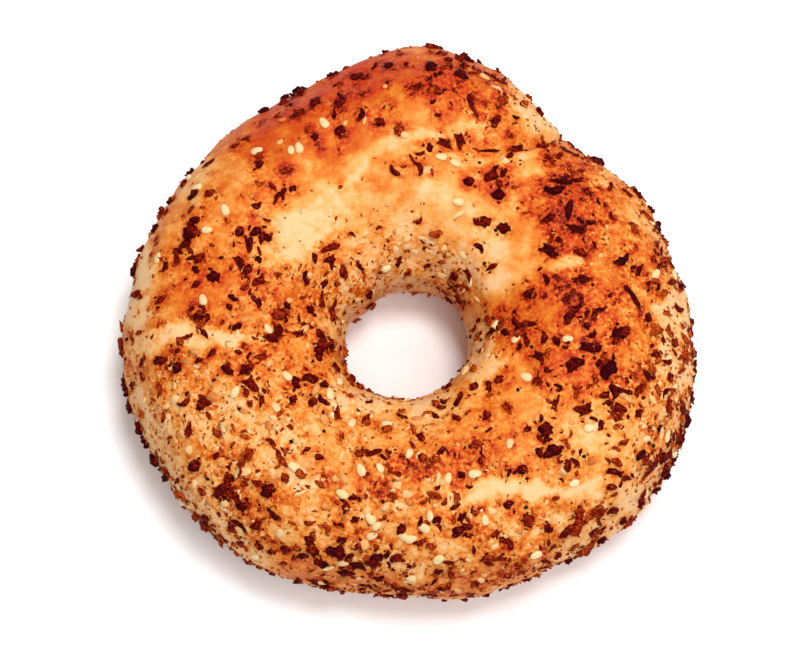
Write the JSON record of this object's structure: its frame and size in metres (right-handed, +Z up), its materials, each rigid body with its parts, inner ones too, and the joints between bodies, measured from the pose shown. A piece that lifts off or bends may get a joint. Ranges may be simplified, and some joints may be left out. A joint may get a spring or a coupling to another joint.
{
  "type": "seeded bagel",
  "caption": "Hand-rolled ring of baked dough with a round hole, a fold where its ends overlap, and toasted onion, garlic, sesame and poppy seed baked onto its crust; lies on its flat base.",
  "frame": {"origin": "middle of the footprint, on the table that the flat base rests on", "axes": "+Z up through the hole, +Y towards the overlap of the dough, +X to the right seen with the overlap at the far side"},
  "size_m": [0.1225, 0.1209, 0.0418],
  "materials": {
    "crust": "satin golden-brown crust, pale where the dough stretched and dark red-brown where it baked hardest",
    "sesame": "satin cream hulled seed",
    "onion": "toasted to dark red-brown, scorched nearly black at the thickest flakes",
    "garlic": "matte tan to cream granules",
    "poppy": "satin blue-black seed"
  },
  "bodies": {
    "root": {"bagel": "crust"}
  },
  "joints": []
}
